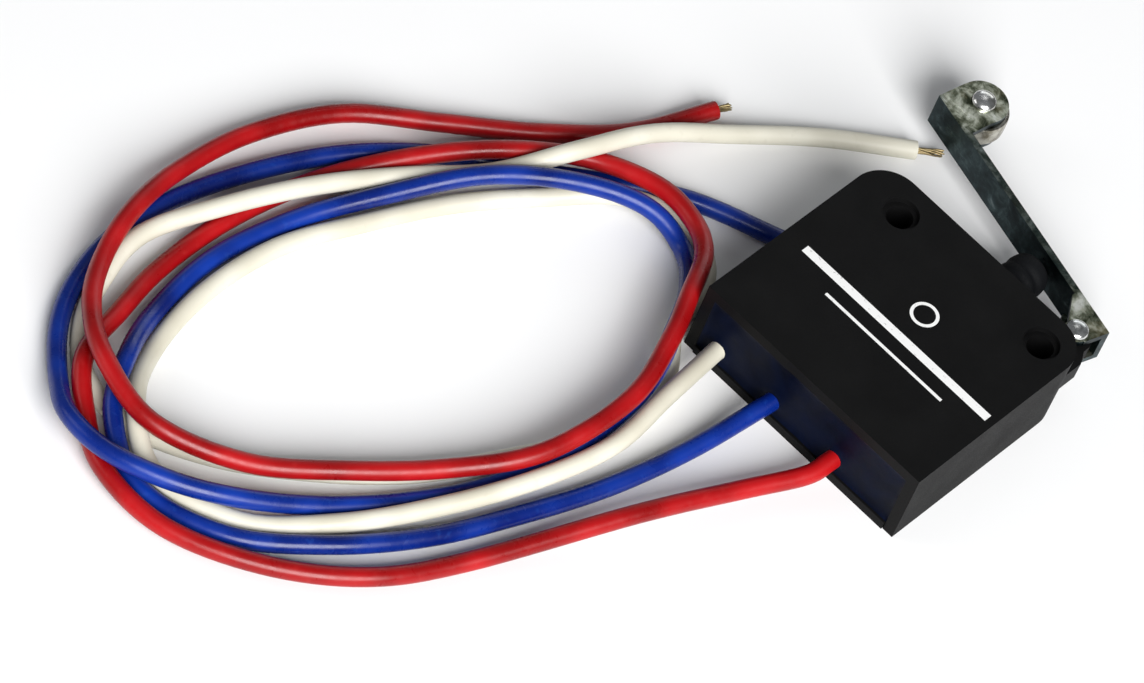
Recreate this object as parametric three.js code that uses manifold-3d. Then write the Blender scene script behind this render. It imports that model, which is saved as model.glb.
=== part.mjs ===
// Sealed snap-action limit switch with a hinged roller lever and three flying leads.
// Millimetres. The origin is the centre of the case's rear mounting face, +Z points out of the
// front face, +Y points to the lever side and the leads leave the case towards -Y.
import * as THREE from 'three';
import { mergeVertices } from 'three/addons/utils/BufferGeometryUtils.js';
import Module from 'manifold-3d';

const wasm = await Module();
wasm.setup();

// ---- driving dimensions ----

const GAP = 0.3;

const CASE_WIDTH = 32;
const CASE_HEIGHT = 29.6;
const CASE_DEPTH = 10.7;
const CASE_CORNER = 4.5;
const WALL = 1.4;
const BACK_THICKNESS = 1.2;
const HOLES = [[-9.6, 10.5], [12.0, 10.5]];
const HOLE_RADIUS = 1.6;
const HOLE_RECESS_RADIUS = 2.15;
const HOLE_RECESS_DEPTH = 0.7;
const BOSS_RADIUS = 3.0;

const HALF_W = CASE_WIDTH / 2;
const HALF_H = CASE_HEIGHT / 2;
const FRONT_INSIDE = CASE_DEPTH - WALL;
const MID_Z = 5.2;

const PLUNGER_X = 3.1;
const STEM_RADIUS = 1.5;
const PLUNGER_BOTTOM = 4.6;
const PLUNGER_SHOULDER = 21.7;
const PLUNGER_TOP = 22.55;
const PLUNGER_HEAD_RADIUS = 1.95;
const PLUNGER_HEAD_BOTTOM = 18.3;
const COLLAR_WIDTH = 6.2;
const COLLAR_DEPTH = 6.0;
const COLLAR_TOP = 16.4;
const NECK_SIZE = 4.6;
const BOOT_RADIUS = 2.6;
const BOOT_TOP = 19.9;

const PIVOT_X = 12.4;
const PIVOT_Y = 17.55;
const LUG_RADIUS = 2.1;
const LEVER_TILT = -15.4 * Math.PI / 180;
const SHEET = 0.75;
const LEVER_Z0 = 2.85;
const LEVER_Z1 = 7.55;
const STRIP_LOW = 2.65;
const STRIP_HIGH = 3.5;
const STRIP_END = -33.4;
const STRIP_HEEL = 1.6;
const AXLE_X = -30.8;
const AXLE_Y = 7.2;
const EAR_RADIUS = 2.95;
const ROLLER_RADIUS = 3.4;
const ROLLER_LENGTH = 2.7;
const ROLLER_BORE = 1.05;

const LEAD_RADIUS = 1.1;
const LEAD_STEPS = 80;
const LEAD_Z = 3.0;
const LEAD_X = { white: -12.0, blue: -3.6, red: 5.8 };
const SEAL_DEPTH = 3.8;

const BLADE_PIVOT = [10.2, 2.0];
const CONTACT_X = -9.6;

// ---- materials ----

function material(color, roughness, metalness) {
  return new THREE.MeshStandardMaterial({ color, roughness, metalness });
}

const blackPlastic = () => material(0x161617, 0.55, 0.0);
const greyPlastic = () => material(0x222427, 0.5, 0.0);
const resin = () => material(0x0c1020, 0.35, 0.0);
const rubber = () => material(0x141516, 0.8, 0.0);
const zincSteel = () => material(0x7d8a8c, 0.35, 1.0);
const polishedSteel = () => material(0xc9ccce, 0.2, 1.0);
const brass = () => material(0xb8923f, 0.35, 1.0);
const springBronze = () => material(0xa9743c, 0.35, 1.0);
const silver = () => material(0xd8d8d4, 0.25, 1.0);
const tinnedCopper = () => material(0x9a8d62, 0.45, 1.0);

// ---- helpers ----

const group = new THREE.Group();
group.name = 'limit_switch';

function addMesh(name, geometry, mat) {
  const mesh = new THREE.Mesh(geometry, mat);
  mesh.name = name;
  group.add(mesh);
  return mesh;
}

function toManifold(geometry) {
  const bare = geometry.clone();
  bare.deleteAttribute('normal');
  bare.deleteAttribute('uv');
  const merged = mergeVertices(bare, 1e-4);
  return new wasm.Manifold(new wasm.Mesh({
    numProp: 3,
    vertProperties: new Float32Array(merged.attributes.position.array),
    triVerts: new Uint32Array(merged.index.array),
  }));
}

function toGeometry(solid) {
  const mesh = solid.getMesh();
  const geometry = new THREE.BufferGeometry();
  geometry.setAttribute('position', new THREE.BufferAttribute(mesh.vertProperties, 3));
  geometry.setIndex(new THREE.BufferAttribute(mesh.triVerts, 1));
  geometry.computeVertexNormals();
  return geometry;
}

// A flat outline raised from z0 to z1.
function slab(shape, z0, z1, curveSegments = 8) {
  const geometry = new THREE.ExtrudeGeometry(shape, { depth: z1 - z0, bevelEnabled: false, curveSegments });
  geometry.translate(0, 0, z0);
  return geometry;
}

function block(x0, x1, y0, y1, z0, z1) {
  const geometry = new THREE.BoxGeometry(x1 - x0, y1 - y0, z1 - z0);
  geometry.translate((x0 + x1) / 2, (y0 + y1) / 2, (z0 + z1) / 2);
  return geometry;
}

// A round bar along Z.
function barZ(x, y, radius, z0, z1, segments = 32) {
  const geometry = new THREE.CylinderGeometry(radius, radius, z1 - z0, segments);
  geometry.rotateX(Math.PI / 2);
  geometry.translate(x, y, (z0 + z1) / 2);
  return geometry;
}

// A round bar along Y.
function barY(x, z, radius, y0, y1, segments = 32) {
  const geometry = new THREE.CylinderGeometry(radius, radius, y1 - y0, segments);
  geometry.translate(x, (y0 + y1) / 2, z);
  return geometry;
}

// A profile of [radius, height] pairs turned about a line along Z through x, y.
function turnedZ(x, y, profile, segments = 32) {
  const points = profile.map(([radius, height]) => new THREE.Vector2(radius, height));
  const geometry = new THREE.LatheGeometry(points, segments);
  geometry.rotateX(Math.PI / 2);
  geometry.translate(x, y, 0);
  return geometry;
}

// A profile of [radius, height] pairs turned about a line along Y through x, z.
function turnedY(x, z, profile, segments = 32) {
  const points = profile.map(([radius, height]) => new THREE.Vector2(radius, height));
  const geometry = new THREE.LatheGeometry(points, segments);
  geometry.translate(x, 0, z);
  return geometry;
}

// A rectangle with two rounded corners on the lever side.
function roundedTopOutline(x0, x1, y0, y1, radius) {
  const shape = new THREE.Shape();
  shape.moveTo(x0, y0);
  shape.lineTo(x1, y0);
  shape.lineTo(x1, y1 - radius);
  shape.absarc(x1 - radius, y1 - radius, radius, 0, Math.PI / 2, false);
  shape.lineTo(x0 + radius, y1);
  shape.absarc(x0 + radius, y1 - radius, radius, Math.PI / 2, Math.PI, false);
  shape.lineTo(x0, y0);
  return shape;
}

function polygon(points) {
  const shape = new THREE.Shape();
  points.forEach(([x, y], index) => {
    if (index === 0) {
      shape.moveTo(x, y);
    } else {
      shape.lineTo(x, y);
    }
  });
  shape.closePath();
  return shape;
}

function union(geometries) {
  return geometries.map(toManifold).reduce((a, b) => a.add(b));
}

function cut(solid, geometries) {
  return geometries.map(toManifold).reduce((a, b) => a.subtract(b), solid);
}

// ---- case ----

function buildCaseShell() {
  const outer = roundedTopOutline(-HALF_W, HALF_W, -HALF_H, HALF_H, CASE_CORNER);
  const cavity = roundedTopOutline(
    -HALF_W + WALL, HALF_W - WALL, -HALF_H - 2, HALF_H - WALL, CASE_CORNER - WALL);
  const hollow = cut(toManifold(slab(outer, 0, CASE_DEPTH, 12)), [slab(cavity, -1, FRONT_INSIDE, 12)]);

  const lug = new THREE.Shape();
  lug.moveTo(PIVOT_X - LUG_RADIUS, 12.6);
  lug.lineTo(HALF_W - 0.6, 11.5);
  lug.lineTo(HALF_W - 0.6, 15.4);
  lug.lineTo(PIVOT_X + LUG_RADIUS, PIVOT_Y - 0.6);
  lug.lineTo(PIVOT_X + LUG_RADIUS, PIVOT_Y);
  lug.absarc(PIVOT_X, PIVOT_Y, LUG_RADIUS, 0, Math.PI, false);
  lug.lineTo(PIVOT_X - LUG_RADIUS, 12.6);

  const bosses = HOLES.map(([x, y]) => barZ(x, y, BOSS_RADIUS, 0, CASE_DEPTH));
  const solid = [slab(lug, 3.9, 6.5, 16), ...bosses].map(toManifold).reduce((a, b) => a.add(b), hollow);

  const neck = NECK_SIZE / 2 + GAP;
  return cut(solid, [
    ...HOLES.map(([x, y]) => barZ(x, y, HOLE_RADIUS, -1, CASE_DEPTH + 1)),
    ...HOLES.map(([x, y]) => barZ(x, y, HOLE_RECESS_RADIUS, CASE_DEPTH - HOLE_RECESS_DEPTH, CASE_DEPTH + 1)),
    block(PLUNGER_X - neck, PLUNGER_X + neck, 12, HALF_H + 1, MID_Z - neck, MID_Z + neck),
    barZ(PIVOT_X, PIVOT_Y, 1.1, 3, 7),
  ]);
}

function buildCaseBack() {
  const edge = WALL + GAP;
  const outline = roundedTopOutline(
    -HALF_W + edge, HALF_W - edge, -HALF_H, HALF_H - edge, CASE_CORNER - edge);
  return cut(
    toManifold(slab(outline, 0, BACK_THICKNESS)),
    HOLES.map(([x, y]) => barZ(x, y, BOSS_RADIUS + GAP, -1, BACK_THICKNESS + 1)));
}

function buildPottingSeal() {
  const side = HALF_W - WALL - GAP;
  const body = block(
    -side, side, -HALF_H, -HALF_H + SEAL_DEPTH, BACK_THICKNESS + GAP, FRONT_INSIDE - GAP);
  const bores = Object.values(LEAD_X).map(
    (x) => barY(x, LEAD_Z, LEAD_RADIUS + GAP, -HALF_H - 1, -HALF_H + SEAL_DEPTH + 1, 24));
  return cut(toManifold(body), bores);
}

addMesh('case_shell', toGeometry(buildCaseShell()), blackPlastic());
addMesh('case_back', toGeometry(buildCaseBack()), blackPlastic());
addMesh('potting_seal', toGeometry(buildPottingSeal()), resin());

// ---- plunger, its collar and its boot ----

function buildPlungerGuide() {
  const halfW = COLLAR_WIDTH / 2;
  const halfD = COLLAR_DEPTH / 2;
  const neck = NECK_SIZE / 2;
  const solid = union([
    block(PLUNGER_X - halfW, PLUNGER_X + halfW, HALF_H + 0.2, COLLAR_TOP, MID_Z - halfD, MID_Z + halfD),
    block(PLUNGER_X - neck, PLUNGER_X + neck, 12.2, COLLAR_TOP - 0.4, MID_Z - neck, MID_Z + neck),
  ]);
  return cut(solid, [barY(PLUNGER_X, MID_Z, STEM_RADIUS + GAP, 11, 18)]);
}

addMesh('plunger_guide', toGeometry(buildPlungerGuide()), greyPlastic());

addMesh('sealing_boot', turnedY(PLUNGER_X, MID_Z, [
  [PLUNGER_HEAD_RADIUS + GAP, COLLAR_TOP + 0.2],
  [BOOT_RADIUS, COLLAR_TOP + 0.2],
  [BOOT_RADIUS, BOOT_TOP - 0.3],
  [BOOT_RADIUS - 0.1, BOOT_TOP],
  [PLUNGER_HEAD_RADIUS + GAP, BOOT_TOP],
  [PLUNGER_HEAD_RADIUS + GAP, COLLAR_TOP + 0.2],
]), rubber());

addMesh('plunger', turnedY(PLUNGER_X, MID_Z, [
  [0, PLUNGER_BOTTOM],
  [STEM_RADIUS - 0.4, PLUNGER_BOTTOM],
  [STEM_RADIUS, PLUNGER_BOTTOM + 0.5],
  [STEM_RADIUS, PLUNGER_HEAD_BOTTOM],
  [PLUNGER_HEAD_RADIUS, PLUNGER_HEAD_BOTTOM + 0.3],
  [PLUNGER_HEAD_RADIUS, PLUNGER_SHOULDER - 0.5],
  [PLUNGER_HEAD_RADIUS - 0.45, PLUNGER_SHOULDER],
  [1.2, PLUNGER_SHOULDER + 0.38],
  [0.7, PLUNGER_SHOULDER + 0.7],
  [0, PLUNGER_TOP],
]), greyPlastic());

// ---- lever, in its own axes with the pin at the origin and the free end towards -X ----

function buildLever() {
  const strip = block(STRIP_END, STRIP_HEEL, STRIP_LOW, STRIP_HIGH, LEVER_Z0, LEVER_Z1);

  const heel = new THREE.Shape();
  heel.moveTo(STRIP_HEEL, STRIP_HIGH);
  heel.lineTo(-4.4, STRIP_HIGH);
  heel.lineTo(-4.4, STRIP_LOW - 0.3);
  heel.lineTo(-1.5, -0.1);
  heel.absarc(0, 0, 1.5, Math.PI, Math.PI * 2, false);
  heel.lineTo(STRIP_HEEL, 0);
  heel.lineTo(STRIP_HEEL, STRIP_HIGH);

  const ear = new THREE.Shape();
  ear.moveTo(AXLE_X - 2.6, STRIP_LOW);
  ear.lineTo(AXLE_X + 3.4, STRIP_LOW);
  ear.lineTo(AXLE_X + EAR_RADIUS, AXLE_Y - 0.8);
  ear.lineTo(AXLE_X + EAR_RADIUS, AXLE_Y);
  ear.absarc(AXLE_X, AXLE_Y, EAR_RADIUS, 0, Math.PI, false);
  ear.lineTo(AXLE_X - EAR_RADIUS, AXLE_Y - 0.8);
  ear.lineTo(AXLE_X - 2.6, STRIP_LOW);

  const sides = [[LEVER_Z0, LEVER_Z0 + SHEET], [LEVER_Z1 - SHEET, LEVER_Z1]];
  const solids = sides.flatMap(([z0, z1]) => [slab(heel, z0, z1, 12), slab(ear, z0, z1, 16)]);
  return cut(union([strip, ...solids]), [
    barZ(0, 0, 1.0, 2, 9),
    barZ(AXLE_X, AXLE_Y, 0.95, 2, 9),
  ]);
}

// Places a geometry drawn in the lever's axes.
function onLever(geometry) {
  geometry.rotateZ(LEVER_TILT);
  geometry.translate(PIVOT_X, PIVOT_Y, 0);
  return geometry;
}

addMesh('lever', onLever(toGeometry(buildLever())), zincSteel());

addMesh('pivot_pin', turnedZ(PIVOT_X, PIVOT_Y, [
  [0, 2.1],
  [1.0, 2.2],
  [1.25, 2.4],
  [1.25, 2.65],
  [0.7, 2.65],
  [0.7, 7.75],
  [1.3, 7.75],
  [1.3, 8.0],
  [0.95, 8.3],
  [0, 8.42],
]), polishedSteel());

addMesh('roller', onLever(turnedZ(AXLE_X, AXLE_Y, [
  [ROLLER_BORE, MID_Z - ROLLER_LENGTH / 2],
  [ROLLER_RADIUS - 0.2, MID_Z - ROLLER_LENGTH / 2],
  [ROLLER_RADIUS, MID_Z - ROLLER_LENGTH / 2 + 0.2],
  [ROLLER_RADIUS, MID_Z + ROLLER_LENGTH / 2 - 0.2],
  [ROLLER_RADIUS - 0.2, MID_Z + ROLLER_LENGTH / 2],
  [ROLLER_BORE, MID_Z + ROLLER_LENGTH / 2],
  [ROLLER_BORE, MID_Z - ROLLER_LENGTH / 2],
], 48)), polishedSteel());

addMesh('roller_axle', onLever(turnedZ(AXLE_X, AXLE_Y, [
  [0, 2.1],
  [0.85, 2.25],
  [1.15, 2.5],
  [1.15, 2.65],
  [0.7, 2.65],
  [0.7, 7.7],
  [1.15, 7.7],
  [1.15, 7.85],
  [0.85, 8.2],
  [0.45, 8.36],
  [0, 8.4],
])), polishedSteel());

// ---- terminals, contacts and the snap blade inside the case ----

const TERMINAL_Z0 = 3.8;
const TERMINAL_Z1 = 6.6;

addMesh('terminal_common', slab(polygon([
  [5.2, -10.6], [6.0, -10.6], [6.0, -7.0], [10.6, -7.0], [10.6, 1.2], [12.4, 1.2],
  [12.4, 2.8], [10.6, 2.8], [10.6, 2.0], [9.8, 2.0], [9.8, -6.2], [5.2, -6.2],
]), TERMINAL_Z0, TERMINAL_Z1), brass());

addMesh('terminal_open', slab(polygon([
  [-4.0, -10.6], [-3.2, -10.6], [-3.2, -2.2], [-11.4, -2.2], [-11.4, -3.0], [-4.0, -3.0],
]), TERMINAL_Z0, TERMINAL_Z1), brass());

addMesh('terminal_closed', slab(polygon([
  [-12.8, -10.6], [-12.0, -10.6], [-12.0, 4.8], [-8.0, 4.8], [-8.0, 5.6], [-12.8, 5.6],
]), TERMINAL_Z0, TERMINAL_Z1), brass());

const contactProfile = (y0, y1) => [[0, y0], [1.1, y0], [1.1, y1 - 0.2], [0.8, y1], [0, y1]];

addMesh('contact_open', turnedY(CONTACT_X, MID_Z, contactProfile(-1.9, -0.9), 24), silver());
addMesh('contact_closed', turnedY(CONTACT_X, MID_Z, [
  [0, 3.6], [0.8, 3.6], [1.1, 3.8], [1.1, 4.5], [0, 4.5],
], 24), silver());

addMesh('moving_blade', block(-11.2, 9.2, 1.6, 1.9, MID_Z - 1.5, MID_Z + 1.5), springBronze());

addMesh('moving_contact', turnedY(CONTACT_X, MID_Z, [
  [0, 2.2], [1.1, 2.2], [1.1, 2.9], [0.8, 3.2], [0, 3.2],
], 24), silver());

function buildSnapSpring() {
  const shape = new THREE.Shape();
  shape.absarc(-2.2, -3.4, 6.0, Math.PI * 0.72, Math.PI * 0.28, true);
  shape.absarc(-2.2, -3.4, 5.7, Math.PI * 0.28, Math.PI * 0.72, false);
  const geometry = slab(shape, MID_Z - 0.9, MID_Z + 0.9, 16);
  geometry.translate(0, -1.5, 0);
  return geometry;
}

addMesh('snap_spring', buildSnapSpring(), springBronze());

// ---- leads ----

const ROUTES = {
  red: [
    [5.8, -15.1, 3], [5.3, -18.6, 2.6], [2.1, -25.8, 2.4], [-2.6, -37.7, 2.8], [-10.3, -56.6, 1.2],
    [-15.5, -67, 1.5], [-23.4, -75, 1.6], [-33.1, -80.3, 1.8], [-42.3, -80.5, 2], [-48.8, -77, 2.2],
    [-53.5, -72.8, 3.5], [-55.7, -65.1, 2.4], [-57.6, -56.6, 1.3], [-57.8, -46, 1.15], [-55.9, -34.9, 1.3],
    [-51.5, -25, 2.7], [-45.6, -15.7, 3.6], [-39, -7.9, 3.1], [-31.1, -4.7, 4.2], [-25.1, -5.2, 4.6],
    [-20.9, -8.4, 5.6], [-17.9, -14.3, 6.7], [-14.9, -20.9, 6.6], [-12.4, -29.9, 6.2], [-13.8, -41.7, 4.9],
    [-19.2, -51, 3.5], [-25.8, -60.1, 3.3], [-33.2, -68.4, 3.4], [-42.2, -74.2, 5.4], [-50.7, -73.2, 6.4],
    [-56.9, -68.9, 5.2], [-61, -63.1, 4.2], [-63.9, -55.5, 3.9], [-65.2, -46.7, 2.7], [-64.4, -35.9, 1.8],
    [-60.3, -25.3, 1.7], [-52.9, -16.6, 1.2], [-45.3, -8.3, 1.15], [-39, 0.5, 1.2], [-35.2, 10.5, 1.6],
  ],
  blue: [
    [-3.6, -15.1, 3], [-5.2, -25.9, 1.6], [-7.5, -36.6, 1.15], [-10.9, -47.3, 1.2], [-15, -57.8, 1.4],
    [-20.8, -67.5, 1.7], [-28.5, -75.4, 1.4], [-38.6, -78.6, 1.2], [-46.1, -75.7, 3.2], [-50.2, -70, 4.2],
    [-53.7, -61.2, 1.7], [-55.1, -50.6, 1.15], [-53.2, -39.9, 1.6], [-48.8, -29.8, 3.1], [-43.4, -20.2, 4.9],
    [-36.6, -12.2, 4.7], [-29.9, -7.3, 3.5], [-24.2, -7, 1.8], [-19.7, -11.3, 3.2], [-16.8, -16.7, 3.7],
    [-13.1, -25.9, 3.7], [-12.6, -36.6, 3.1], [-15.4, -47.2, 1.3], [-20.4, -57.5, 1.2], [-26.6, -67.1, 2.1],
    [-33.8, -75.3, 3.8], [-42, -79.9, 4.5], [-48.9, -79.7, 3.7], [-53.9, -76, 1.9], [-58.9, -70.8, 1.3],
    [-62, -65, 1.15], [-63.7, -57.8, 1.15], [-63.5, -49.3, 1.15], [-60.7, -38.7, 1.2], [-56.3, -28.6, 1.2],
    [-49.7, -19.6, 1.15], [-41.4, -12.2, 1.15], [-34.2, -5.4, 1.15], [-27.7, -0.4, 1.2], [-18.5, 3.8, 1.15],
  ],
  white: [
    [-12, -15.1, 3], [-10.9, -24.5, 4.1], [-10, -34.5, 4.2], [-12.5, -44.9, 3.5], [-16.8, -55.1, 2.5],
    [-21.9, -64.7, 2], [-28.9, -72.7, 1.15], [-38.6, -76.3, 1.8], [-45.8, -72.6, 3.6], [-50.3, -64.9, 1.4],
    [-52.3, -55, 1.4], [-51.8, -44.2, 1.4], [-48.5, -33.8, 1.15], [-44.4, -23.9, 1.2], [-38.9, -14.9, 1.4],
    [-33.4, -7.7, 2], [-27.2, -4.2, 1.5], [-21.9, -5.4, 1.2], [-18.7, -9.5, 1.15], [-17.5, -15.2, 1.15],
    [-12.2, -23.2, 1.15], [-13.1, -33.4, 1.15], [-17.1, -43.6, 1.15], [-21.9, -53.2, 1.15], [-28.5, -61.7, 1.15],
    [-36.3, -69.1, 1.15], [-44.9, -73.7, 1.15], [-52.2, -73.2, 1.15], [-57.1, -69.1, 1.2], [-60.1, -63.3, 1.7],
    [-61.6, -55.7, 2.4], [-58.4, -46.2, 3.5], [-54.5, -36, 3.3], [-49.8, -26.8, 2.8], [-43.9, -18, 3.1],
    [-39.3, -9.4, 5.5], [-36.3, 0.1, 4.3], [-31.5, 9.3, 2.1], [-25.2, 18.1, 1.4], [-17.6, 26, 1.15],
  ],
};

const LEAD_COLOURS = { white: 0xe9e6dc, blue: 0x1533c4, red: 0xd0151c };
const TIPS = { white: [0.5, 3.0], blue: [0.5, 1.5], red: [0.5, 1.8] };

function leadCurve(name) {
  const points = ROUTES[name].map(([x, y, z]) => new THREE.Vector3(x, y, z));
  return new THREE.CatmullRomCurve3(points, false, 'catmullrom', 0.5);
}

function octagon(radius) {
  return polygon(Array.from({ length: 8 }, (_, i) => {
    const angle = (i + 0.5) * Math.PI / 4;
    return [radius * Math.cos(angle), radius * Math.sin(angle)];
  }));
}

function buildLead(name) {
  return new THREE.ExtrudeGeometry(octagon(LEAD_RADIUS), {
    steps: LEAD_STEPS,
    bevelEnabled: false,
    extrudePath: leadCurve(name),
  });
}

// The stripped strands carry on straight from the end of the lead.
function buildConductor(name) {
  const curve = leadCurve(name);
  const end = curve.getPointAt(1);
  const direction = curve.getTangentAt(1);
  direction.z = 0;
  direction.normalize();
  const [radius, length] = TIPS[name];
  const geometry = new THREE.CylinderGeometry(radius, radius, length, 12);
  geometry.applyQuaternion(new THREE.Quaternion().setFromUnitVectors(new THREE.Vector3(0, 1, 0), direction));
  const centre = end.clone().addScaledVector(direction, GAP + length / 2);
  geometry.translate(centre.x, centre.y, centre.z);
  return geometry;
}

for (const name of ['white', 'blue', 'red']) {
  const stub = barY(LEAD_X[name], LEAD_Z, LEAD_RADIUS, -HALF_H, -HALF_H + SEAL_DEPTH, 24);
  addMesh(`lead_stub_${name}`, stub, material(LEAD_COLOURS[name], 0.4, 0.0));
  addMesh(`lead_${name}`, buildLead(name), material(LEAD_COLOURS[name], 0.4, 0.0));
  addMesh(`conductor_${name}`, buildConductor(name), tinnedCopper());
}

export default group;
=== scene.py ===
# Looks of the sealed limit switch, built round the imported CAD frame.
# Metres; origin at the centre of the case's rear face, +Z out of the front face, +Y towards the lever.
import math
import random

import bmesh
import bpy
from mathutils import Matrix, Vector, noise


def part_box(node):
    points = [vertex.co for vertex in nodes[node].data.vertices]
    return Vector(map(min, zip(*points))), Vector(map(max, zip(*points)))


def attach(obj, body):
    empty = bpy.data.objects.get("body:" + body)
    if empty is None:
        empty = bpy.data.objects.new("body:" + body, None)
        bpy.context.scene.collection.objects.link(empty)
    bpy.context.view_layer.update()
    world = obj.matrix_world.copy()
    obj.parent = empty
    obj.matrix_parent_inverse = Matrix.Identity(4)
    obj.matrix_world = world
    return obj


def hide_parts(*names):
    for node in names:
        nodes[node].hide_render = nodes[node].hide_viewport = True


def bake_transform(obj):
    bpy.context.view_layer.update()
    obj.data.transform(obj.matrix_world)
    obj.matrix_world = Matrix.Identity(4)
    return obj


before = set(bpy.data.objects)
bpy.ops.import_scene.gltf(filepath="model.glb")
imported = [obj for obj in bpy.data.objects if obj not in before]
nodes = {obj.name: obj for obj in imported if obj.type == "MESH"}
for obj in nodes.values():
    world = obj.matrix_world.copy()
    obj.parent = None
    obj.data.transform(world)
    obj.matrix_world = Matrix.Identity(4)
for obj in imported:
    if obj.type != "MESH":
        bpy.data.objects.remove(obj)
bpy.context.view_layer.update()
MM = 0.001

# ---------------------------------------------------------------- camera

LENS = 251.7
SENSOR_WIDTH = 36.0
CAMERA_PLACE = Vector((0.20294, -0.51740, 0.68558))
CAMERA_RIGHT = Vector((0.7023, 0.6676, 0.2472))
CAMERA_BACK = Vector((0.2593, -0.5633, 0.7845))

scene = bpy.context.scene
camera_data = bpy.data.cameras.new("camera")
camera_data.lens = LENS
camera_data.sensor_width = SENSOR_WIDTH
camera_data.clip_start = 0.01
camera_data.clip_end = 20.0
camera = bpy.data.objects.new("camera", camera_data)
scene.collection.objects.link(camera)
back = CAMERA_BACK.normalized()
up = back.cross(CAMERA_RIGHT.normalized()).normalized()
right = up.cross(back)
turn = Matrix((right, up, back)).transposed().to_4x4()
camera.matrix_world = Matrix.Translation(CAMERA_PLACE) @ turn
scene.camera = camera

# ---------------------------------------------------------------- places and sizes (millimetres)


def corners(node):
    """Lowest and highest corner of a CAD node's box."""
    return [[round(value / MM, 4) for value in corner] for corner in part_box(node)]


def middle(node):
    """Centre of a CAD node's box."""
    return [round((low + high) / 2, 4) for low, high in zip(*corners(node))]


PIVOT = middle("pivot_pin")
AXLE = middle("roller_axle")
PLUNGER = middle("plunger")
LEAD_STUBS = {colour: middle(f"lead_stub_{colour}") for colour in ("white", "blue", "red")}
CASE_LOW, CASE_HIGH = corners("case_shell")
OPEN_FACE = CASE_LOW[1]
SEAL_LOW, SEAL_HIGH = corners("potting_seal")

# the lever's strip in its own axes, with the pin at the origin: its two faces, and where the ear
# at the pin and the fork at the roller are folded from it
LEVER_TILT = math.radians(-15.4)
STRIP_TOP = 3.5
STRIP_UNDERSIDE = 2.65
EAR_START = -4.0
FORK_START = -27.0
SHEET_FACES = [corner[2] for corner in corners("lever")]
FOLD_RADIUS = 0.5
CUT_RADIUS = 0.14
NEAR = 0.02

# leads: how far each starts inside the case, and its bare tip in the part, which is this long and
# begins after a small gap
LEAD_RADIUS = 1.1
LEAD_OVERLAP = 0.5
TIPS = {"white": 3.0, "blue": 1.5, "red": 1.8}
TIP_GAP = 0.3

# bare strands: one wire with the others round it, which start inside the insulation and stop at
# different lengths, none of them past the part's tip; the last step of each wire is narrower
STRAND_COUNT = 9
STRAND_RADIUS = 0.115
STRAND_SPACING = 0.27
STRAND_SPLAY = 0.12
STRAND_TWIST = 2.2
STRAND_INSIDE = 0.6
STRAND_CUT = 0.6
STRAND_STEPS = 14
STRAND_SIDES = 8
STRAND_SEED = 11

# resin: its lap into the walls, how far its back stops before the seal's, its depth below the open
# face, how it climbs the walls and leads within a reach, and its uneven surface
RESIN_LAP = 0.32
RESIN_BACK_GAP = 0.2
RESIN_SINK = 0.34
RESIN_LEAST_SINK = 0.02
WALL_CLIMB, WALL_REACH = 0.26, 0.35
LEAD_CLIMB, LEAD_REACH = 0.3, 0.4
RESIN_WAVES, WAVE_SCALE, WAVE_SLICE = 0.07, 0.35, 3.1

# plain marks on the front face: each bar is its centre and half sizes, the ring its centre,
# radius and half width
PRINT_BARS = [(1.0, -2.1, 14.0, 0.55), (1.4, -4.7, 8.8, 0.2)]
PRINT_RING = (1.3, 2.4, 1.5, 0.2)
PRINT_DEPTH = 0.2

# the back plate's edge, all that lies beyond this radius, is pushed out into the assembly gap
PLATE_FIT = 0.22
PLATE_EDGE = 12.0

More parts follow.
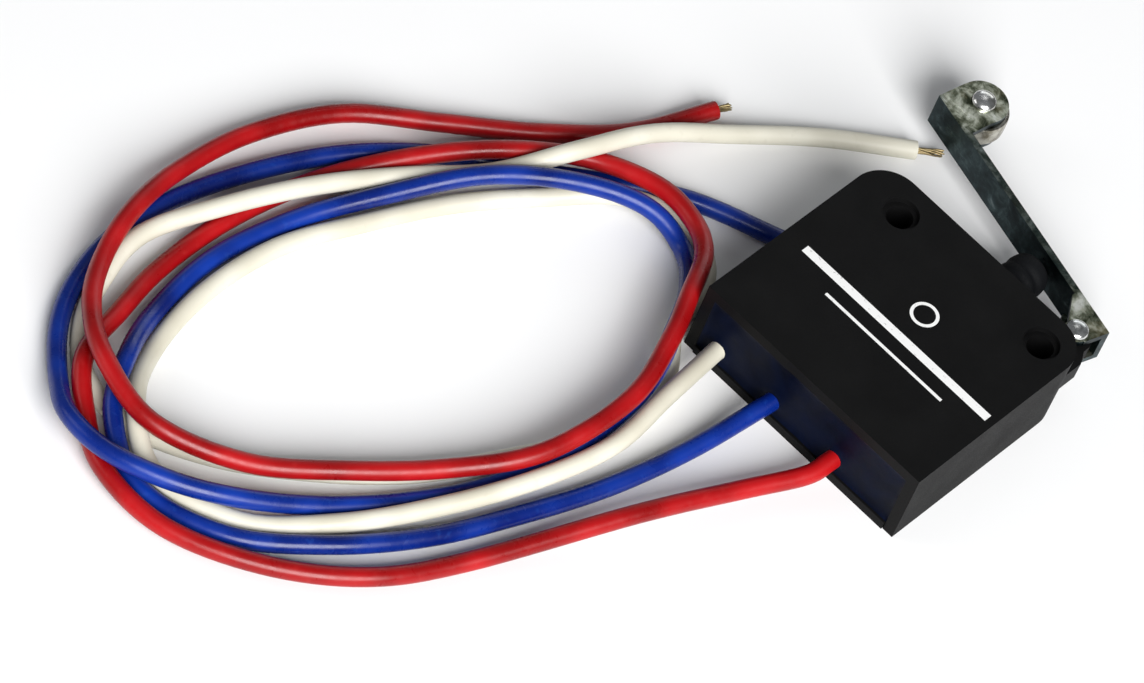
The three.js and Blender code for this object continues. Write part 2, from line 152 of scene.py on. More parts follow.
# routes of the leads from the case to their bare ends, as in the part
ROUTES = {
    "red": [
        [5.8, -15.1, 3], [5.3, -18.6, 2.6], [2.1, -25.8, 2.4], [-2.6, -37.7, 2.8],
        [-10.3, -56.6, 1.2], [-15.5, -67, 1.5], [-23.4, -75, 1.6], [-33.1, -80.3, 1.8],
        [-42.3, -80.5, 2], [-48.8, -77, 2.2], [-53.5, -72.8, 3.5], [-55.7, -65.1, 2.4],
        [-57.6, -56.6, 1.3], [-57.8, -46, 1.15], [-55.9, -34.9, 1.3], [-51.5, -25, 2.7],
        [-45.6, -15.7, 3.6], [-39, -7.9, 3.1], [-31.1, -4.7, 4.2], [-25.1, -5.2, 4.6],
        [-20.9, -8.4, 5.6], [-17.9, -14.3, 6.7], [-14.9, -20.9, 6.6], [-12.4, -29.9, 6.2],
        [-13.8, -41.7, 4.9], [-19.2, -51, 3.5], [-25.8, -60.1, 3.3], [-33.2, -68.4, 3.4],
        [-42.2, -74.2, 5.4], [-50.7, -73.2, 6.4], [-56.9, -68.9, 5.2], [-61, -63.1, 4.2],
        [-63.9, -55.5, 3.9], [-65.2, -46.7, 2.7], [-64.4, -35.9, 1.8], [-60.3, -25.3, 1.7],
        [-52.9, -16.6, 1.2], [-45.3, -8.3, 1.15], [-39, 0.5, 1.2], [-35.2, 10.5, 1.6],
    ],
    "blue": [
        [-3.6, -15.1, 3], [-5.2, -25.9, 1.6], [-7.5, -36.6, 1.15], [-10.9, -47.3, 1.2],
        [-15, -57.8, 1.4], [-20.8, -67.5, 1.7], [-28.5, -75.4, 1.4], [-38.6, -78.6, 1.2],
        [-46.1, -75.7, 3.2], [-50.2, -70, 4.2], [-53.7, -61.2, 1.7], [-55.1, -50.6, 1.15],
        [-53.2, -39.9, 1.6], [-48.8, -29.8, 3.1], [-43.4, -20.2, 4.9], [-36.6, -12.2, 4.7],
        [-29.9, -7.3, 3.5], [-24.2, -7, 1.8], [-19.7, -11.3, 3.2], [-16.8, -16.7, 3.7],
        [-13.1, -25.9, 3.7], [-12.6, -36.6, 3.1], [-15.4, -47.2, 1.3], [-20.4, -57.5, 1.2],
        [-26.6, -67.1, 2.1], [-33.8, -75.3, 3.8], [-42, -79.9, 4.5], [-48.9, -79.7, 3.7],
        [-53.9, -76, 1.9], [-58.9, -70.8, 1.3], [-62, -65, 1.15], [-63.7, -57.8, 1.15],
        [-63.5, -49.3, 1.15], [-60.7, -38.7, 1.2], [-56.3, -28.6, 1.2], [-49.7, -19.6, 1.15],
        [-41.4, -12.2, 1.15], [-34.2, -5.4, 1.15], [-27.7, -0.4, 1.2], [-18.5, 3.8, 1.15],
    ],
    "white": [
        [-12, -15.1, 3], [-10.9, -24.5, 4.1], [-10, -34.5, 4.2], [-12.5, -44.9, 3.5],
        [-16.8, -55.1, 2.5], [-21.9, -64.7, 2], [-28.9, -72.7, 1.15], [-38.6, -76.3, 1.8],
        [-45.8, -72.6, 3.6], [-50.3, -64.9, 1.4], [-52.3, -55, 1.4], [-51.8, -44.2, 1.4],
        [-48.5, -33.8, 1.15], [-44.4, -23.9, 1.2], [-38.9, -14.9, 1.4], [-33.4, -7.7, 2],
        [-27.2, -4.2, 1.5], [-21.9, -5.4, 1.2], [-18.7, -9.5, 1.15], [-17.5, -15.2, 1.15],
        [-12.2, -23.2, 1.15], [-13.1, -33.4, 1.15], [-17.1, -43.6, 1.15], [-21.9, -53.2, 1.15],
        [-28.5, -61.7, 1.15], [-36.3, -69.1, 1.15], [-44.9, -73.7, 1.15], [-52.2, -73.2, 1.15],
        [-57.1, -69.1, 1.2], [-60.1, -63.3, 1.7], [-61.6, -55.7, 2.4], [-58.4, -46.2, 3.5],
        [-54.5, -36, 3.3], [-49.8, -26.8, 2.8], [-43.9, -18, 3.1], [-39.3, -9.4, 5.5],
        [-36.3, 0.1, 4.3], [-31.5, 9.3, 2.1], [-25.2, 18.1, 1.4], [-17.6, 26, 1.15],
    ],
}

# ---------------------------------------------------------------- mesh helpers

WELD = 2e-6
FLAT_ANGLE = math.radians(0.6)
SHARP_ANGLE = math.radians(35)


def link(obj):
    scene.collection.objects.link(obj)
    return obj


def object_from(bm, name, angle):
    """A new object, smooth shaded except at edges sharper than the angle in degrees."""
    mesh = bpy.data.meshes.new(name)
    bm.to_mesh(mesh)
    bm.free()
    for polygon in mesh.polygons:
        polygon.use_smooth = True
    mesh.set_sharp_from_angle(angle=math.radians(angle))
    return link(bpy.data.objects.new(name, mesh))


def turned(name, profile, place, segments=72, angle=35):
    """An outline of (radius, height) points turned about an axis; place(x, y, h) gives the point."""
    bm = bmesh.new()
    rings = []
    for radius, height in profile:
        if radius == 0:
            rings.append([bm.verts.new(place(0, 0, height))])
            continue
        rings.append([
            bm.verts.new(place(
                radius * math.cos(2 * math.pi * k / segments),
                radius * math.sin(2 * math.pi * k / segments),
                height))
            for k in range(segments)
        ])
    for a, b in zip(rings, rings[1:]):
        for k in range(segments):
            n = (k + 1) % segments
            if len(a) == 1:
                bm.faces.new((a[0], b[n], b[k]))
            elif len(b) == 1:
                bm.faces.new((a[k], a[n], b[0]))
            else:
                bm.faces.new((a[k], a[n], b[n], b[k]))
    bmesh.ops.recalc_face_normals(bm, faces=bm.faces)
    return object_from(bm, name, angle)


def along_z(centre):
    return lambda x, y, h: Vector(((centre[0] + x) * MM, (centre[1] + y) * MM, h * MM))


def along_y(centre):
    return lambda x, y, h: Vector(((centre[0] + x) * MM, h * MM, (centre[2] + y) * MM))


def bevelled(node, name, width, segments):
    """A copy of a CAD node with its sharp edges rounded; width may be a function of the edge."""
    bm = bmesh.new()
    bm.from_mesh(nodes[node].data)
    bmesh.ops.remove_doubles(bm, verts=bm.verts, dist=WELD)
    bmesh.ops.dissolve_limit(
        bm, angle_limit=FLAT_ANGLE, verts=bm.verts, edges=bm.edges, use_dissolve_boundaries=False)
    weights = bm.edges.layers.float.new("bevel_weight_edge")
    sizes = {}
    for edge in bm.edges:
        if len(edge.link_faces) == 2 and edge.calc_face_angle(0) > SHARP_ANGLE:
            sizes[edge] = width(edge) if callable(width) else width
    largest = max(sizes.values())
    for edge, size in sizes.items():
        edge[weights] = size / largest
    obj = object_from(bm, name, 60)
    modifier = obj.modifiers.new("bevel", "BEVEL")
    modifier.limit_method = "WEIGHT"
    modifier.width = largest * MM
    modifier.segments = segments
    modifier.harden_normals = False
    normals = obj.modifiers.new("normals", "WEIGHTED_NORMAL")
    normals.keep_sharp = False
    # the weighted normals shade the rounded edges, so no edge stays marked as sharp
    attribute = obj.data.attributes.get("sharp_edge")
    if attribute:
        obj.data.attributes.remove(attribute)
    return obj


# ---------------------------------------------------------------- materials


class Nodes:
    """A small builder for one node material."""

    def __init__(self, name):
        self.material = bpy.data.materials.new(name)
        self.material.use_nodes = True
        self.tree = self.material.node_tree
        self.shader = self.tree.nodes["Principled BSDF"]
        self.coords = self.tree.nodes.new("ShaderNodeTexCoord").outputs["Object"]

    def join(self, a, b):
        self.tree.links.new(a, b)

    def mapped(self, scale=(1, 1, 1), rotation=(0, 0, 0), location=(0, 0, 0)):
        node = self.tree.nodes.new("ShaderNodeMapping")
        node.inputs["Scale"].default_value = scale
        node.inputs["Rotation"].default_value = rotation
        node.inputs["Location"].default_value = location
        self.join(self.coords, node.inputs["Vector"])
        return node.outputs["Vector"]

    def noise(self, scale, detail=4, rough=0.5, vector=None, distortion=0.0):
        node = self.tree.nodes.new("ShaderNodeTexNoise")
        node.inputs["Scale"].default_value = scale
        node.inputs["Detail"].default_value = detail
        node.inputs["Roughness"].default_value = rough
        node.inputs["Distortion"].default_value = distortion
        self.join(vector or self.coords, node.inputs["Vector"])
        return node.outputs["Fac"]

    def ramp(self, value, stops):
        node = self.tree.nodes.new("ShaderNodeValToRGB")
        elements = node.color_ramp.elements
        while len(elements) < len(stops):
            elements.new(0.5)
        for element, (position, colour) in zip(elements, stops):
            element.position = position
            element.color = (*colour, 1) if isinstance(colour, tuple) else (colour, colour, colour, 1)
        self.join(value, node.inputs["Fac"])
        return node.outputs["Color"]

    def remap(self, value, low, high, source=(0.3, 0.7)):
        node = self.tree.nodes.new("ShaderNodeMapRange")
        node.inputs["From Min"].default_value = source[0]
        node.inputs["From Max"].default_value = source[1]
        node.inputs["To Min"].default_value = low
        node.inputs["To Max"].default_value = high
        self.join(value, node.inputs["Value"])
        return node.outputs["Result"]

    def math(self, operation, a, b=0.0):
        node = self.tree.nodes.new("ShaderNodeMath")
        node.operation = operation
        for socket, value in zip(node.inputs, (a, b)):
            if isinstance(value, (int, float)):
                socket.default_value = value
            else:
                self.join(value, socket)
        return node.outputs[0]

    def mix(self, factor, a, b):
        node = self.tree.nodes.new("ShaderNodeMix")
        node.data_type = "RGBA"
        for socket, value in ((node.inputs[0], factor), (node.inputs[6], a), (node.inputs[7], b)):
            if isinstance(value, (int, float)):
                socket.default_value = value
            elif isinstance(value, tuple):
                socket.default_value = (*value, 1)
            else:
                self.join(value, socket)
        return node.outputs[2]

    def bump(self, height, distance, strength, normal=None):
        node = self.tree.nodes.new("ShaderNodeBump")
        node.inputs["Distance"].default_value = distance
        node.inputs["Strength"].default_value = strength
        self.join(height, node.inputs["Height"])
        if normal:
            self.join(normal, node.inputs["Normal"])
        return node.outputs["Normal"]

    def done(self, colour, roughness, normal, **fixed):
        for socket, value in (("Base Color", colour), ("Roughness", roughness), ("Normal", normal)):
            self.join(value, self.shader.inputs[socket])
        for key, value in fixed.items():
            self.shader.inputs[key.replace("_", " ")].default_value = value
        return self.material


def printed_marks(m):
    """Mask of the plain marks printed on the front face: two straight bars and a ring."""
    split = m.tree.nodes.new("ShaderNodeSeparateXYZ")
    m.join(m.coords, split.inputs[0])
    x, y, z = (split.outputs[axis] for axis in "XYZ")
    cx, cy, radius, half_width = PRINT_RING
    dx = m.math("SUBTRACT", x, cx * MM)
    dy = m.math("SUBTRACT", y, cy * MM)
    reach = m.math("SQRT", m.math("ADD", m.math("MULTIPLY", dx, dx), m.math("MULTIPLY", dy, dy)))
    off = m.math("ABSOLUTE", m.math("SUBTRACT", reach, radius * MM))
    mask = m.math("LESS_THAN", off, half_width * MM)
    for cx, cy, half_x, half_y in PRINT_BARS:
        dx = m.math("ABSOLUTE", m.math("SUBTRACT", x, cx * MM))
        dy = m.math("ABSOLUTE", m.math("SUBTRACT", y, cy * MM))
        inside = m.math(
            "MINIMUM", m.math("SUBTRACT", half_x * MM, dx), m.math("SUBTRACT", half_y * MM, dy))
        mask = m.math("MAXIMUM", mask, m.math("GREATER_THAN", inside, 0.0))
    worn = m.ramp(m.noise(1500, 4, 0.7), [(0.3, 0.55), (0.42, 1.0)])
    mask = m.math("MULTIPLY", mask, worn)
    return m.math("MULTIPLY", mask, m.math("GREATER_THAN", z, (CASE_HIGH[2] - PRINT_DEPTH) * MM))


def moulded_black(name, dark, light, rough, grain=5200.0, specular=0.35, printed=False):
    m = Nodes(name)
    blotch = m.noise(160, 3, 0.6)
    fine = m.noise(grain, 2, 0.6)
    scuff = m.noise(420, 6, 0.75, m.mapped((1, 3.5, 1), (0, 0, 0.5)))
    base = m.ramp(blotch, [(0.3, dark), (0.75, light)])
    worn = m.ramp(scuff, [(0.66, 0.0), (0.78, 0.35)])
    colour = m.mix(worn, base, tuple(3.2 * c for c in light))
    if printed:
        colour = m.mix(printed_marks(m), colour, (0.78, 0.78, 0.77))
    roughness = m.math("ADD", m.remap(blotch, rough - 0.05, rough + 0.06), m.remap(fine, -0.06, 0.06))
    normal = m.bump(fine, 0.00002, 0.35)
    normal = m.bump(m.noise(700, 2, 0.5), 0.00003, 0.15, normal)
    return m.done(colour, roughness, normal, Specular_IOR_Level=specular)


def cured_resin(name):
    m = Nodes(name)
    swirl = m.noise(260, 4, 0.55, distortion=0.6)
    fine = m.noise(2600, 3, 0.6)
    colour = m.ramp(swirl, [(0.3, (0.001, 0.0018, 0.006)), (0.75, (0.002, 0.0045, 0.017))])
    roughness = m.math("ADD", m.remap(swirl, 0.36, 0.5), m.remap(fine, -0.04, 0.05))
    normal = m.bump(swirl, 0.00012, 0.5)
    normal = m.bump(fine, 0.00001, 0.4, normal)
    return m.done(colour, roughness, normal, Specular_IOR_Level=0.06)


def soft_rubber(name):
    m = Nodes(name)
    fine = m.noise(4200, 3, 0.7)
    dust = m.noise(900, 5, 0.7)
    colour = m.mix(m.ramp(dust, [(0.55, 0.0), (0.75, 0.3)]), (0.0035, 0.004, 0.005), (0.014, 0.014, 0.015))
    roughness = m.remap(fine, 0.62, 0.82)
    return m.done(colour, roughness, m.bump(fine, 0.00002, 0.5), Specular_IOR_Level=0.14)


def distance_from(m, centre):
    """Distance in metres from the line along Z through centre, which is in millimetres."""
    flat = m.tree.nodes.new("ShaderNodeVectorMath")
    flat.operation = "MULTIPLY"
    flat.inputs[1].default_value = (1, 1, 0)
    m.join(m.mapped(location=(-centre[0] * MM, -centre[1] * MM, 0)), flat.inputs[0])
    length = m.tree.nodes.new("ShaderNodeVectorMath")
    length.operation = "LENGTH"
    m.join(flat.outputs[0], length.inputs[0])
    return length.outputs["Value"]


def zinc_sheet(name):
    """Passivated sheet, dark on the strip; the ears' faces towards the front get painted light: a lighter
    colour with painted highlights.
    """
    m = Nodes(name)
    lengthwise = m.mapped((120, 3200, 3200), (0, 0, -LEVER_TILT))
    brushed = m.noise(1.0, 3, 0.55, lengthwise)
    spangle = m.noise(520, 5, 0.62, distortion=0.4)
    cloud = m.noise(190, 4, 0.6)
    dark = m.ramp(spangle, [
        (0.3, (0.008, 0.016, 0.018)), (0.5, (0.02, 0.036, 0.04)),
        (0.64, (0.05, 0.08, 0.085)), (0.78, (0.24, 0.3, 0.31)),
    ])
    # painted highlight and sheen: the lighter, mottled colour of the ears' front faces, standing in for
    # light falling on them
    painted_lit_sheen = m.ramp(spangle, [
        (0.38, (0.04, 0.048, 0.03)), (0.48, (0.2, 0.22, 0.155)),
        (0.57, (0.6, 0.63, 0.52)), (0.68, (0.95, 0.97, 0.9)),
    ])
    painted_lit_sheen = m.mix(m.ramp(cloud, [(0.5, 0.0), (0.7, 0.6)]), painted_lit_sheen, (0.34, 0.27, 0.14))
    # painted light: faces turned towards +Z near the pin and the axle take the lighter colour, while faces
    # turned away keep the dark one, as if in shade
    split = m.tree.nodes.new("ShaderNodeSeparateXYZ")
    m.join(m.tree.nodes.new("ShaderNodeNewGeometry").outputs["Normal"], split.inputs[0])
    front = m.remap(split.outputs["Z"], 0.0, 1.0, (0.2, 0.7))
    by_axle = m.remap(distance_from(m, AXLE), 1.0, 0.15, (0.0042, 0.0056))
    by_pin = m.remap(distance_from(m, PIVOT), 1.0, 0.15, (0.0045, 0.0065))
    front = m.math("MULTIPLY", front, m.math("MAXIMUM", by_axle, by_pin))
    colour = m.mix(front, dark, painted_lit_sheen)
    roughness = m.math("ADD", m.remap(cloud, 0.27, 0.42), m.remap(brushed, -0.07, 0.07))
    normal = m.bump(brushed, 0.000008, 0.5)
    normal = m.bump(spangle, 0.00003, 0.35, normal)
    return m.done(colour, roughness, normal, Metallic=1.0)


# radians per metre, which is a ring about every 0.12 mm
RING_FREQUENCY = 52000.0


def turned_steel(name, centre, light, dark, rough=0.2):
    """Bright steel with fine turning rings round the axis through centre."""
    m = Nodes(name)
    rings = m.math("SINE", m.math("MULTIPLY", distance_from(m, centre), RING_FREQUENCY))
    cloud = m.noise(700, 4, 0.6)
    pits = m.noise(2600, 4, 0.7)
    colour = m.ramp(cloud, [(0.35, dark), (0.62, light)])
    spots = m.ramp(pits, [(0.62, 0.0), (0.72, 0.5)])
    colour = m.mix(spots, colour, tuple(0.45 * c for c in dark))
    roughness = m.math(
        "ADD", m.remap(cloud, rough - 0.05, rough + 0.1), m.remap(rings, -0.02, 0.02, (-1, 1)))
    normal = m.bump(rings, 0.000002, 0.5)
    normal = m.bump(pits, 0.000012, 0.4, normal)
    return m.done(colour, roughness, normal, Metallic=1.0)


def plain_metal(name, light, dark, rough):
    m = Nodes(name)
    cloud = m.noise(600, 5, 0.6)
    lines = m.noise(1.0, 3, 0.5, m.mapped((300, 300, 6000)))
    colour = m.ramp(cloud, [(0.3, dark), (0.7, light)])
    roughness = m.math("ADD", m.remap(cloud, rough - 0.05, rough + 0.12), m.remap(lines, -0.04, 0.04))
    return m.done(colour, roughness, m.bump(lines, 0.000006, 0.5), Metallic=1.0)


def insulation(name, deep, bright, dust, rough):
    m = Nodes(name)
    cloud = m.noise(150, 1, 0.5)
    fine = m.noise(1200, 1, 0.5)
    specks = m.noise(900, 2, 0.6)
    colour = m.ramp(cloud, [(0.3, deep), (0.68, bright)])
    marks = m.ramp(specks, [(0.6, 0.0), (0.74, 0.14)])
    colour = m.mix(marks, colour, dust)
    roughness = m.math("ADD", m.remap(cloud, rough - 0.05, rough + 0.08), m.remap(fine, -0.04, 0.05))
    normal = m.bump(fine, 0.000012, 0.3)
    normal = m.bump(m.noise(400, 1, 0.5), 0.00004, 0.3, normal)
    return m.done(colour, roughness, normal, Specular_IOR_Level=0.35)


def paper_floor(name):
    m = Nodes(name)
    fibre = m.noise(900, 5, 0.6)
    colour = m.ramp(m.noise(6, 3, 0.5), [(0.3, (0.86, 0.86, 0.86)), (0.7, (0.89, 0.89, 0.89))])
    return m.done(colour, m.remap(fibre, 0.8, 0.92), m.bump(fibre, 0.00003, 0.2), Specular_IOR_Level=0.1)


MATERIALS = {
    "case_black": moulded_black("case_black", (0.0022, 0.0022, 0.0023), (0.0045, 0.0045, 0.0046), 0.6,
                                specular=0.12, printed=True),
    "resin_navy": cured_resin("resin_navy"),
    "guide_black": moulded_black("guide_black", (0.006, 0.0065, 0.007), (0.014, 0.015, 0.016), 0.42, 4200),
    "boot_rubber": soft_rubber("boot_rubber"),
    "lever_steel": zinc_sheet("lever_steel"),
    "terminal_brass": plain_metal("terminal_brass", (0.66, 0.47, 0.17), (0.42, 0.27, 0.08), 0.32),
    "contact_silver": plain_metal("contact_silver", (0.83, 0.83, 0.8), (0.6, 0.6, 0.57), 0.22),
    "blade_bronze": plain_metal("blade_bronze", (0.56, 0.33, 0.14), (0.36, 0.19, 0.07), 0.3),
    "strand_copper": plain_metal("strand_copper", (0.45, 0.36, 0.19), (0.16, 0.12, 0.06), 0.38),
    "insulation_white": insulation(
        "insulation_white", (0.56, 0.53, 0.43), (0.68, 0.655, 0.555), (0.4, 0.37, 0.28), 0.42),
    "insulation_blue": insulation(
        "insulation_blue", (0.001, 0.009, 0.115), (0.0025, 0.03, 0.28), (0.02, 0.1, 0.45), 0.28),
    "insulation_red": insulation(
        "insulation_red", (0.2, 0.0015, 0.002), (0.4, 0.004, 0.006), (0.5, 0.04, 0.035), 0.32),
}
PIN_STEEL = turned_steel("pin_steel", PIVOT, (0.86, 0.87, 0.86), (0.5, 0.51, 0.5))
ROLLER_STEEL = turned_steel("roller_steel", AXLE, (0.62, 0.6, 0.53), (0.2, 0.18, 0.13), 0.24)
AXLE_STEEL = turned_steel("axle_steel", AXLE, (0.88, 0.88, 0.87), (0.52, 0.51, 0.47), 0.16)


def paint(obj, material):
    obj.data.materials.clear()
    obj.data.materials.append(material)
    return obj


def piece(obj, body, slot, node, material=None):
    """Hand an object over as the visual piece that rides on a body in place of a CAD node."""
    paint(obj, material or MATERIALS[slot])
    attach(obj, body)
    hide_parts(node)


# ---------------------------------------------------------------- leads


def route_points(name, per_span=8):
    """Uniform Catmull-Rom through the lead's points, with its ends mirrored, in metres."""
    points = [Vector(p) * MM for p in ROUTES[name]]
    points = [2 * points[0] - points[1]] + points + [2 * points[-1] - points[-2]]
    result = []
    for a, b, c, d in zip(points, points[1:], points[2:], points[3:]):
        for k in range(per_span):
            t = k / per_span
            result.append(0.5 * (
                2 * b + (c - a) * t + (2 * a - 5 * b + 4 * c - d) * t ** 2
                + (3 * b - a - 3 * c + d) * t ** 3))
    result.append(points[-2])
    return result


def lead_curve(name):
    """The insulation of a lead, as a curve, and the points it runs through."""
    x, _, z = LEAD_STUBS[name]
    points = [Vector((x * MM, (OPEN_FACE + LEAD_OVERLAP) * MM, z * MM))] + route_points(name)
    data = bpy.data.curves.new(f"lead_{name}_skin", "CURVE")
    data.dimensions = "3D"
    data.bevel_depth = LEAD_RADIUS * MM
    data.bevel_resolution = 6
    data.use_fill_caps = True
    spline = data.splines.new("POLY")
    spline.points.add(len(points) - 1)
    for target, point in zip(spline.points, points):
        target.co = (*point, 1)
    spline.use_smooth = True
    return link(bpy.data.objects.new(f"lead_{name}_skin", data)), points


def strands(name, points, seed):
    """The bare strands: wires twisted round each other that open a little towards the tip."""
    rng = random.Random(seed)
    end = points[-1]
    direction = points[-1] - points[-2]
    direction.z = 0
    direction.normalize()
    side = Vector((-direction.y, direction.x, 0))
    over = Vector((0, 0, 1))
    outer = STRAND_COUNT - 1
    wires = [(0, 0)] + [(1, 2 * math.pi * k / outer) for k in range(outer)]
    section = [2 * math.pi * k / STRAND_SIDES for k in range(STRAND_SIDES)]
    bm = bmesh.new()
    for ring, phase in wires:
        reach = (TIPS[name] + TIP_GAP) * rng.uniform(0.86, 1.0)
        wander = rng.uniform(-0.5, 0.5)
        rings = []
        for i in range(STRAND_STEPS + 1):
            t = i / STRAND_STEPS
            along = (reach + STRAND_INSIDE) * t - STRAND_INSIDE
            spread = ring * (STRAND_SPACING + STRAND_SPLAY * t ** 2 * rng.uniform(0.7, 1.3))
            angle = phase + STRAND_TWIST * t + wander * t * t
            centre = end + direction * (along * MM)
            centre += side * (spread * math.cos(angle) * MM) + over * (spread * math.sin(angle) * MM)
            radius = STRAND_RADIUS * (1 if i < STRAND_STEPS else STRAND_CUT) * MM
            rings.append([
                bm.verts.new(centre + (side * math.cos(corner) + over * math.sin(corner)) * radius)
                for corner in section
            ])
        for a, b in zip(rings, rings[1:]):
            for k in range(STRAND_SIDES):
                n = (k + 1) % STRAND_SIDES
                bm.faces.new((a[k], a[n], b[n], b[k]))
        bm.faces.new(list(reversed(rings[0])))
        bm.faces.new(rings[-1])
    bmesh.ops.recalc_face_normals(bm, faces=bm.faces)
    return object_from(bm, f"strands_{name}", 50)


for index, (colour, (lead_x, _, lead_z)) in enumerate(LEAD_STUBS.items()):
    lead, lead_points = lead_curve(colour)
    bare = strands(colour, lead_points, STRAND_SEED + index)
    piece(lead, "case", f"insulation_{colour}", f"lead_{colour}")
    piece(bare, "case", "strand_copper", f"conductor_{colour}")

# ---------------------------------------------------------------- case

piece(bevelled("case_shell", "shell_skin", 0.28, 4), "case", "case_black", "case_shell")

back_plate = bevelled("case_back", "back_plate_skin", 0.12, 2)
for vertex in back_plate.data.vertices:
    if math.hypot(vertex.co.x, vertex.co.y) > PLATE_EDGE * MM:
        vertex.co.x += math.copysign(PLATE_FIT * MM, vertex.co.x)
        vertex.co.y += math.copysign(PLATE_FIT * MM, vertex.co.y)
piece(back_plate, "case", "case_black", "case_back")


def resin_sink(x, z, wall):
    """Depth of the resin below the open face, at a point this far from the nearest wall."""
    lead = min(math.hypot(x - cx, z - cz) for cx, _, cz in LEAD_STUBS.values())
    sink = RESIN_SINK - WALL_CLIMB * math.exp(-wall / WALL_REACH)
    sink -= LEAD_CLIMB * math.exp(-max(lead - LEAD_RADIUS, 0) / LEAD_REACH)
    sink += RESIN_WAVES * noise.noise(Vector((x * WAVE_SCALE, z * WAVE_SCALE, WAVE_SLICE)))
    return max(sink, RESIN_LEAST_SINK)


def resin_fill(columns=150, rows=42):
    """Resin that fills the open side, sunk a little in the middle and drawn up the walls and leads."""
    x0, x1 = SEAL_LOW[0] - RESIN_LAP, SEAL_HIGH[0] + RESIN_LAP
    z0, z1 = SEAL_LOW[2] - RESIN_LAP, SEAL_HIGH[2] + RESIN_LAP
    bm = bmesh.new()
    front = []
    for j in range(rows + 1):
        row = []
        for i in range(columns + 1):
            x = x0 + (x1 - x0) * i / columns
            z = z0 + (z1 - z0) * j / rows
            sink = resin_sink(x, z, min(x - x0, x1 - x, z - z0, z1 - z))
            row.append(bm.verts.new(Vector((x, OPEN_FACE + sink, z)) * MM))
        front.append(row)
    for j in range(rows):
        for i in range(columns):
            bm.faces.new((front[j][i], front[j][i + 1], front[j + 1][i + 1], front[j + 1][i]))
    right_edge = [row[-1] for row in front[1:-1]]
    left_edge = [row[0] for row in front[1:-1]]
    rim = front[0] + right_edge + front[-1][::-1] + left_edge[::-1]
    back_y = (SEAL_HIGH[1] - RESIN_BACK_GAP) * MM
    deep = [bm.verts.new((vertex.co.x, back_y, vertex.co.z)) for vertex in rim]
    for k in range(len(rim)):
        n = (k + 1) % len(rim)
        bm.faces.new((rim[k], deep[k], deep[n], rim[n]))
    bm.faces.new(deep)
    bmesh.ops.recalc_face_normals(bm, faces=bm.faces)
    return object_from(bm, "resin_fill", 50)


piece(resin_fill(), "case", "resin_navy", "potting_seal")

# ---------------------------------------------------------------- plunger, collar and boot

piece(bevelled("plunger_guide", "collar_skin", 0.22, 3), "case", "guide_black", "plunger_guide")

plunger = turned("plunger_skin", [
    (0, 4.6), (1.1, 4.6), (1.4, 4.75), (1.5, 5.1), (1.5, 21.2), (1.48, 21.55), (1.42, 21.85),
    (1.3, 22.08), (1.1, 22.28), (0.8, 22.44), (0.42, 22.53), (0, 22.55),
], along_y(PLUNGER))
piece(plunger, "plunger_rod", "guide_black", "plunger")

boot = turned("boot_skin", [
    (1.9, 16.42), (2.66, 16.42), (2.74, 16.55), (2.74, 17.0), (2.66, 17.15), (2.42, 17.3),
    (2.36, 17.55), (2.44, 17.85), (2.62, 18.1), (2.66, 18.4), (2.6, 18.7), (2.4, 18.95),
    (2.34, 19.2), (2.42, 19.45), (2.58, 19.7), (2.62, 20.0), (2.58, 20.35), (2.5, 20.8),
    (2.4, 21.15), (2.2, 21.45), (1.9, 21.66), (1.62, 21.72), (1.56, 21.6), (1.56, 21.3),
    (2.1, 20.9), (2.2, 20.4), (2.25, 20.0), (2.0, 19.2), (2.25, 18.4), (2.0, 17.55), (2.2, 17.0),
    (1.9, 16.42),
], along_y(PLUNGER), angle=50)
paint(boot, MATERIALS["boot_rubber"])
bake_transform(boot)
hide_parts("sealing_boot")

# ---------------------------------------------------------------- lever, pins and roller


def both_at(a, b, level):
    return abs(a - level) < NEAR and abs(b - level) < NEAR


def lever_edge(edge):
    """The two folds of the sheet are rounder than its cut edges."""
    c, s = math.cos(-LEVER_TILT), math.sin(-LEVER_TILT)
    ends = []
    for x, y, z in (vertex.co / MM for vertex in edge.verts):
        dx, dy = x - PIVOT[0], y - PIVOT[1]
        ends.append((dx * c - dy * s, dx * s + dy * c, z))
    (xa, ya, za), (xb, yb, zb) = ends
    if not any(both_at(za, zb, face) for face in SHEET_FACES):
        return CUT_RADIUS
    ear_fold = both_at(ya, yb, STRIP_TOP) and max(xa, xb) > EAR_START
    fork_fold = both_at(ya, yb, STRIP_UNDERSIDE) and min(xa, xb) < FORK_START
    return FOLD_RADIUS if ear_fold or fork_fold else CUT_RADIUS


piece(bevelled("lever", "lever_skin", lever_edge, 3), "lever_arm", "lever_steel", "lever")

pin = turned("pivot_pin_skin", [
    (0, 2.1), (0.6, 2.12), (1.0, 2.22), (1.22, 2.38), (1.27, 2.52), (1.25, 2.66), (0.7, 2.66),
    (0.7, 7.7), (1.3, 7.7), (1.36, 7.8), (1.33, 7.98), (1.2, 8.14), (0.95, 8.28), (0.6, 8.38), (0, 8.42),
], along_z(PIVOT))
piece(pin, "case", "pin_steel", "pivot_pin", PIN_STEEL)

axle = turned("roller_axle_skin", [
    (0, 2.1), (0.5, 2.13), (0.85, 2.24), (1.08, 2.42), (1.15, 2.58), (1.12, 2.66), (0.7, 2.66),
    (0.7, 7.62), (1.42, 7.62), (1.5, 7.7), (1.47, 7.86), (1.28, 8.1), (0.98, 8.28), (0.55, 8.39), (0, 8.42),
], along_z(AXLE))
piece(axle, "lever_arm", "pin_steel", "roller_axle", AXLE_STEEL)

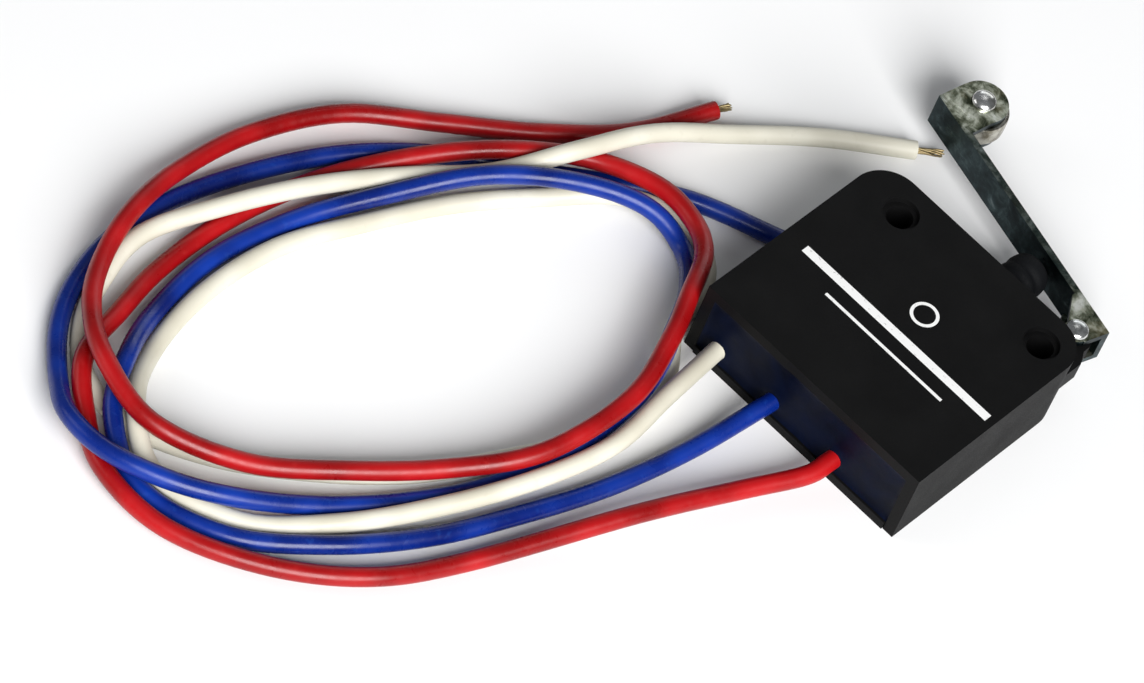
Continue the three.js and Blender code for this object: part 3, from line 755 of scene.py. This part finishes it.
roller = turned("roller_skin", [
    (1.05, 3.9), (1.2, 3.85), (2.0, 3.85), (2.1, 3.95), (2.9, 3.95), (3.0, 3.87), (3.2, 3.87),
    (3.33, 3.95), (3.4, 4.12), (3.42, 4.6), (3.43, 5.2), (3.42, 5.8), (3.4, 6.28), (3.33, 6.45),
    (3.2, 6.53), (3.0, 6.53), (2.9, 6.45), (2.1, 6.45), (2.0, 6.55), (1.2, 6.55), (1.05, 6.5), (1.05, 3.9),
], along_z(AXLE), segments=96)
piece(roller, "roller_wheel", "pin_steel", "roller", ROLLER_STEEL)

# ---------------------------------------------------------------- carried-over pieces

CARRIED = {
    "terminal_common": "terminal_brass", "terminal_open": "terminal_brass",
    "terminal_closed": "terminal_brass", "contact_open": "contact_silver",
    "contact_closed": "contact_silver", "moving_contact": "contact_silver",
    "moving_blade": "blade_bronze", "snap_spring": "blade_bronze",
    "lead_stub_white": "insulation_white", "lead_stub_blue": "insulation_blue",
    "lead_stub_red": "insulation_red",
}
for node, slot in CARRIED.items():
    paint(nodes[node], MATERIALS[slot])

# ---------------------------------------------------------------- floor and light

floor_mesh = bpy.data.meshes.new("floor")
bm = bmesh.new()
bmesh.ops.create_grid(bm, x_segments=8, y_segments=8, size=2.5)
bm.to_mesh(floor_mesh)
bm.free()
floor = link(bpy.data.objects.new("floor", floor_mesh))
paint(floor, paper_floor("paper_floor"))

world = bpy.data.worlds.new("studio")
world.use_nodes = True
world.node_tree.nodes["Background"].inputs["Color"].default_value = (0.93, 0.96, 1.0, 1)
world.node_tree.nodes["Background"].inputs["Strength"].default_value = 0.16
scene.world = world


LIT_SPOT = Vector((-0.02, -0.02, 0))


def softbox(name, place, size, power, colour=(1, 1, 1)):
    """A rectangular lamp that looks at the middle of the object."""
    data = bpy.data.lights.new(name, "AREA")
    data.shape = "RECTANGLE"
    data.size, data.size_y = size
    data.energy = power
    data.color = colour
    lamp = link(bpy.data.objects.new(name, data))
    lamp.location = place
    aim = LIT_SPOT - Vector(place)
    lamp.rotation_euler = aim.to_track_quat("-Z", "Y").to_euler()


softbox("key", (0.8, -0.6, 0.7), (0.8, 0.8), 28.0)
softbox("fill", (-0.75, -0.55, 0.5), (0.5, 0.5), 1.2)
softbox("rim", (-0.3, 0.75, 0.35), (0.6, 0.25), 0.8, (0.95, 0.98, 1.0))
softbox("glint", (-0.24, 0.5, 0.7), (0.14, 0.14), 0.09)

scene.view_settings.view_transform = "Standard"
